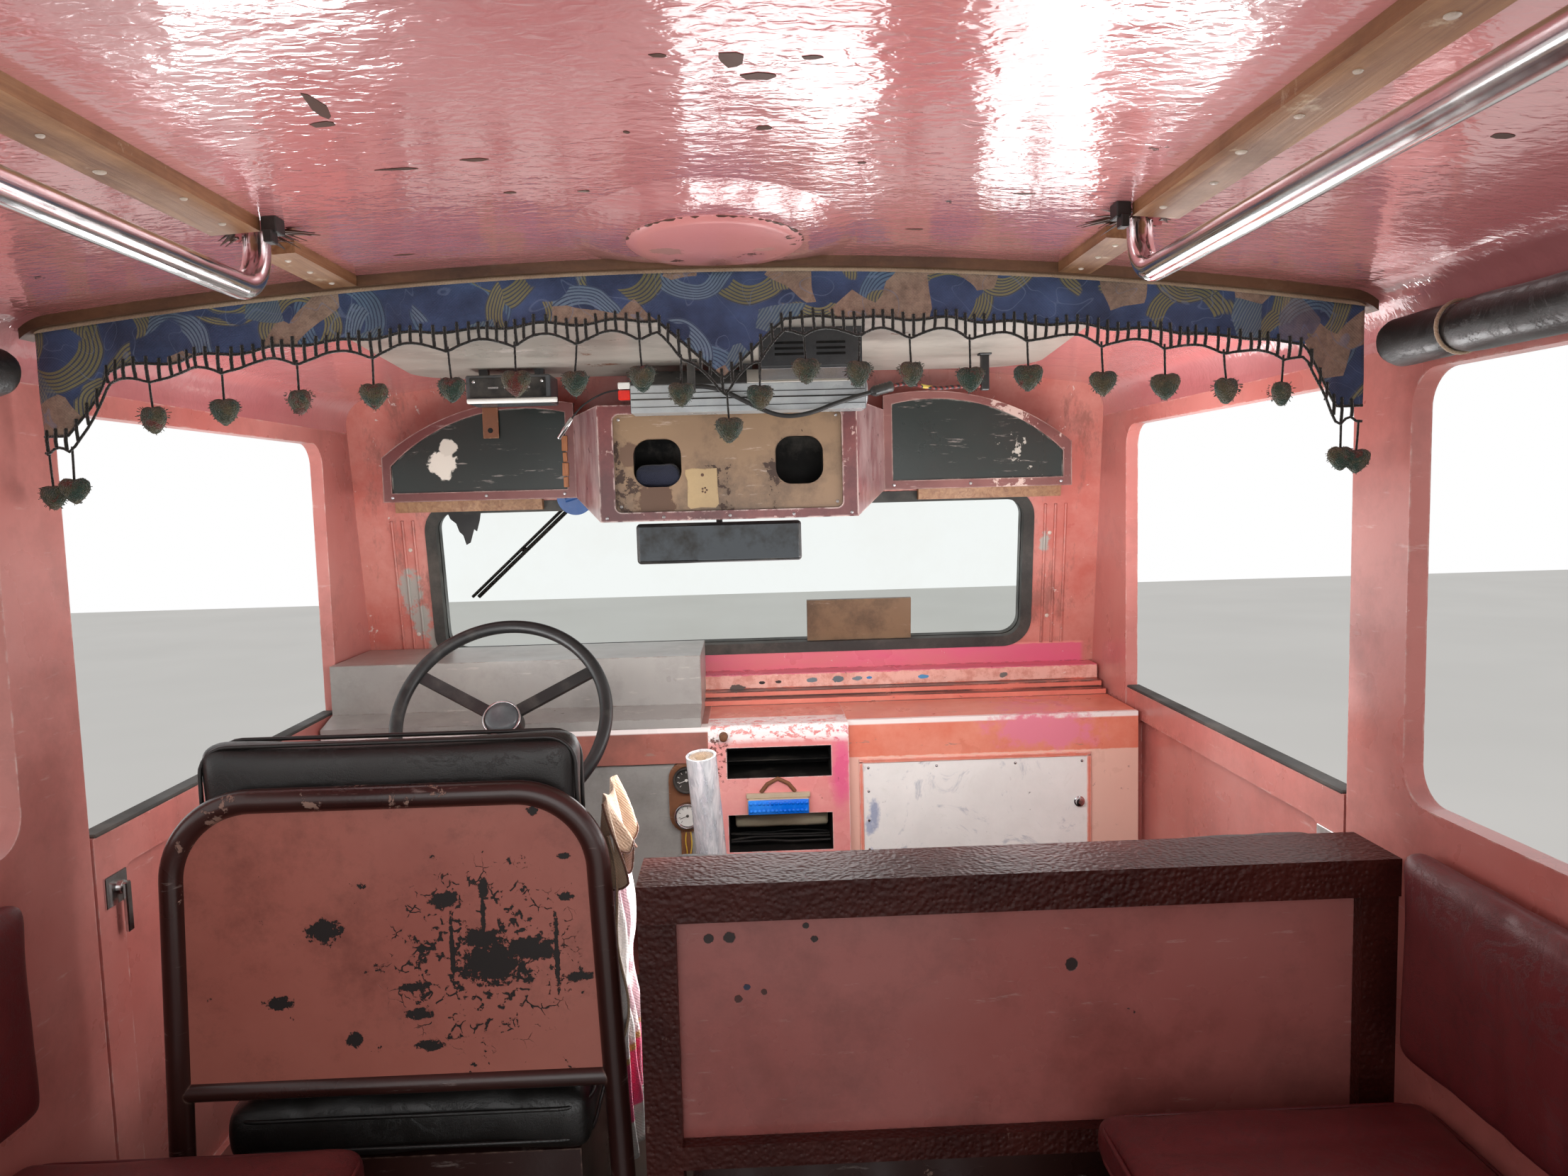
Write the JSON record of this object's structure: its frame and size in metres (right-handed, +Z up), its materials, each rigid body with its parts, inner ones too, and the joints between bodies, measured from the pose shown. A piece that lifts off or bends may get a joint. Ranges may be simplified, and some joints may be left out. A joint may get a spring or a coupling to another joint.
{
  "type": "jeepney cab section",
  "caption": "Front section of a small bus body: cab with seats, dashboard and half doors, and the first saloon bay with benches, rails and valance.",
  "frame": {"origin": "on the ground under the middle of the section, at the underside of its floor frame", "axes": "+Y forwards along the vehicle, +X to the vehicle's right, +Z up"},
  "size_m": [1.718, 2.04, 1.52],
  "materials": {
    "body_paint": "worn gloss enamel",
    "ceiling_paint": "gloss enamel with runs and chips",
    "frame_paint": "matt black",
    "floor_paint": "worn grey brown",
    "tray_paint": "dull white",
    "maroon_paint": "worn gloss",
    "green_paint": "worn gloss",
    "dash_paint": "worn gloss enamel",
    "grey_paint": "satin",
    "dark_panel": "satin",
    "brown_paint": "worn gloss",
    "bright_steel": "polished",
    "black_metal": "satin",
    "black_plastic": "satin",
    "blue_plastic": "gloss",
    "wood": "varnished",
    "plywood": "stained",
    "rubber": "matt",
    "glass": "clear",
    "blue_cloth": "woven print",
    "green_yarn": "crochet",
    "beige_cloth": "frilled",
    "black_vinyl": "semi-gloss vinyl",
    "silver_film": "bright metallised film",
    "black_cord": "satin",
    "maroon_vinyl": "semi-gloss vinyl"
  },
  "bodies": {
    "cab": {"floor_frame": "frame_paint", "floor_pan": "floor_paint", "side_wall_right": "body_paint", "side_wall_left": "body_paint", "roof_panel": "ceiling_paint", "rear_hoop": "body_paint", "drip_rails": "bright_steel", "firewall": "body_paint", "windscreen_frame": "body_paint", "windscreen_glass": "glass", "windscreen_gasket": "rubber", "wiper": "black_metal", "wiper_motor": "blue_plastic", "wooden_battens": "wood", "ceiling_cover": "ceiling_paint", "ceiling_tray": "tray_paint", "grab_rails": "bright_steel", "header_box": "maroon_paint", "speaker_board": "plywood", "header_wings": "maroon_paint", "wing_boards": "green_paint", "dash_ledge": "dash_paint", "dash_console": "dash_paint", "dash_sides": "dash_paint", "glove_panel": "grey_paint", "driver_panel": "dark_panel", "binnacle": "grey_paint", "gauges": "black_plastic", "console_lamp": "blue_plastic", "route_board": "plywood", "overhead_units": "black_plastic", "rear_view_mirror": "black_plastic", "valance": "blue_cloth", "heart_fringe": "green_yarn", "driver_seat_frame": "brown_paint", "driver_seat_panel": "dash_paint", "cab_seat_pads": "black_vinyl", "seat_frill": "beige_cloth", "partition_frame": "brown_paint", "partition_panel": "dash_paint", "cab_seat_cushions": "black_vinyl", "seat_bases": "brown_paint", "bench_cushions": "maroon_vinyl", "sunshade_roll": "silver_film", "overhead_cable": "black_cord", "side_wires": "black_cord", "spare_lead": "black_cord", "lead_fittings": "black_plastic", "rolled_curtains": "black_vinyl", "steering_column": "black_metal", "pedals": "black_metal", "gear_lever": "black_metal"},
    "door_left": {"door_left": "body_paint"},
    "door_right": {"door_right": "body_paint"},
    "steering_wheel": {"steering_wheel": "black_plastic"}
  },
  "joints": [
    {"name": "steering", "type": "hinge", "parent": "cab", "child": "steering_wheel", "pos_m": [-0.42, 0.46, 0.83], "axis": [0, -0.8192, 0.5736], "range_deg": [-540, 540]},
    {"name": "door_left_hinge", "type": "hinge", "parent": "cab", "child": "door_left", "pos_m": [-0.851, 0.737, 0.475], "axis": [0, 0, -1], "range_deg": [0, 75]},
    {"name": "door_right_hinge", "type": "hinge", "parent": "cab", "child": "door_right", "pos_m": [0.851, 0.737, 0.475], "axis": [0, 0, 1], "range_deg": [0, 75]}
  ]
}
